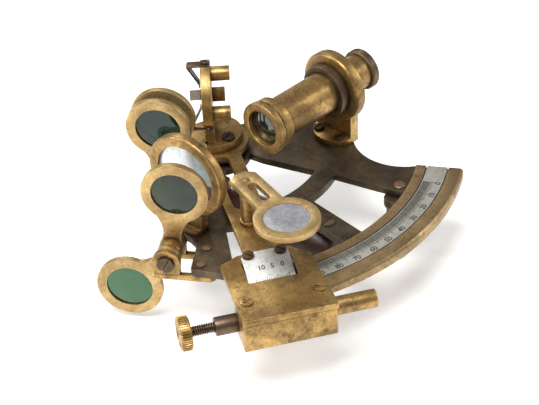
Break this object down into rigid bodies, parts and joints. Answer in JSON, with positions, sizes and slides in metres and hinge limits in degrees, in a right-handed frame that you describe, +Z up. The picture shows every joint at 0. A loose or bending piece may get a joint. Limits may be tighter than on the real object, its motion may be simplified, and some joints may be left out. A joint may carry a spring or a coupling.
{
  "type": "nautical sextant",
  "caption": "Nautical sextant with a graduated limb, swinging index arm with vernier and tangent screw, telescope, two mirrors, hinged shades and a reading glass.",
  "frame": {"origin": "centre of the sole of the leg under the index arm's pivot, on the table, so the pivot axis is the Z axis", "axes": "+Z up along the index arm's pivot axis, normal to the limb; the limb lies towards -Y; +X towards the zero end of the limb and the telescope"},
  "size_m": [0.1317, 0.1177, 0.0667],
  "materials": {
    "dark_brass": "dark patinated brass",
    "limb_brass": "worn brass with brown patina",
    "worn_brass": "worn, lightly tarnished brass",
    "shade_brass": "satin brass with a light patina",
    "bronzed_brass": "dark bronzed brass",
    "screws": "darkened brass screw heads and clips",
    "copper_rivets": "copper-coloured rivets",
    "silvered_scale": "silvered, fine brushed",
    "wood": "dark stained hardwood, satin",
    "lens_glass": "clear coated lens",
    "frosted_lens": "frosted reading lens",
    "mirror_glass": "silvered mirror glass",
    "dark_green_glass": "dense green shade glass",
    "green_glass": "green shade glass"
  },
  "bodies": {
    "frame": {"frame_plate": "dark_brass", "limb": "limb_brass", "scale_band": "silvered_scale", "frame_rivets": "copper_rivets", "brace_screw": "screws", "legs": "dark_brass", "handle_grip": "wood", "handle_posts": "worn_brass", "telescope_stand": "worn_brass", "stand_screws": "screws", "collar_ring": "worn_brass", "thread_bush": "bronzed_brass", "telescope_tube": "worn_brass", "objective_cell": "worn_brass", "objective_lens": "lens_glass", "horizon_frame": "worn_brass", "horizon_mirror": "mirror_glass", "horizon_foot": "worn_brass", "horizon_shade_fork": "worn_brass", "index_shade_fork": "worn_brass", "horizon_shade_pin": "screws", "index_shade_pin": "screws", "horizon_bracket": "worn_brass", "index_bracket": "dark_brass"},
    "eyepiece": {"draw_tube": "worn_brass", "eye_rim": "bronzed_brass", "eye_lens": "lens_glass"},
    "index_arm": {"pivot_boss": "worn_brass", "index_arm_plate": "worn_brass", "tangent_block": "worn_brass", "limb_clamp": "worn_brass", "vernier": "silvered_scale", "vernier_screws": "screws", "block_screws": "worn_brass", "screw_collar": "bronzed_brass", "guide_rod": "worn_brass", "mirror_foot": "worn_brass", "mirror_frame": "worn_brass", "mirror_glass": "mirror_glass", "mirror_adjusters": "worn_brass", "mirror_clips": "screws", "clip_screws": "screws", "mirror_foot_screw": "screws", "glass_post": "worn_brass"},
    "tangent_screw": {"tangent_screw": "bronzed_brass", "tangent_knob": "worn_brass"},
    "clamp_screw": {"clamp_screw": "worn_brass"},
    "reading_glass": {"reading_glass_frame": "shade_brass", "reading_glass_lens": "frosted_lens"},
    "horizon_shade_low": {"horizon_shade_low_frame": "shade_brass", "horizon_shade_low_glass": "green_glass"},
    "horizon_shade_up": {"horizon_shade_up_frame": "shade_brass", "horizon_shade_up_glass": "dark_green_glass"},
    "index_shade_front": {"index_shade_front_frame": "shade_brass", "index_shade_front_glass": "dark_green_glass"},
    "index_shade_rear": {"index_shade_rear_frame": "shade_brass", "index_shade_rear_glass": "dark_green_glass"}
  },
  "joints": [
    {"name": "index_arm_swing", "type": "hinge", "parent": "frame", "child": "index_arm", "pos_m": [0, 0, 0.0315], "axis": [0, 0, 1], "range_deg": [-2, 50]},
    {"name": "tangent_screw_turn", "type": "hinge", "parent": "index_arm", "child": "tangent_screw", "pos_m": [-0.06895, -0.07217, 0.026], "axis": [0.8973, -0.4415, 0], "continuous": true},
    {"name": "clamp_screw_turn", "type": "hinge", "parent": "index_arm", "child": "clamp_screw", "pos_m": [-0.03731, -0.07582, 0.018], "axis": [0, 0, 1], "range_deg": [-360, 720]},
    {"name": "reading_glass_swing", "type": "hinge", "parent": "index_arm", "child": "reading_glass", "pos_m": [-0.02376, -0.04738, 0.0495], "axis": [0, 0, 1], "range_deg": [-30, 35]},
    {"name": "eyepiece_focus", "type": "slide", "parent": "frame", "child": "eyepiece", "axis": [0.9979, 0.0645, 0], "range_m": [-0.005, 0.004]},
    {"name": "horizon_shade_low_turn", "type": "hinge", "parent": "frame", "child": "horizon_shade_low", "pos_m": [-0.05206, -0.03688, 0.0275], "axis": [-0.788, -0.6157, 0], "range_deg": [-133, 0]},
    {"name": "horizon_shade_up_turn", "type": "hinge", "parent": "frame", "child": "horizon_shade_up", "pos_m": [-0.04686, -0.03282, 0.0275], "axis": [-0.788, -0.6157, 0], "range_deg": [0, 131]},
    {"name": "index_shade_front_turn", "type": "hinge", "parent": "frame", "child": "index_shade_front", "pos_m": [-0.02536, -0.00118, 0.0275], "axis": [-0.788, -0.6157, 0], "range_deg": [0, 122]},
    {"name": "index_shade_rear_turn", "type": "hinge", "parent": "frame", "child": "index_shade_rear", "pos_m": [-0.01985, 0.00313, 0.0275], "axis": [-0.788, -0.6157, 0], "range_deg": [0, 122]}
  ]
}
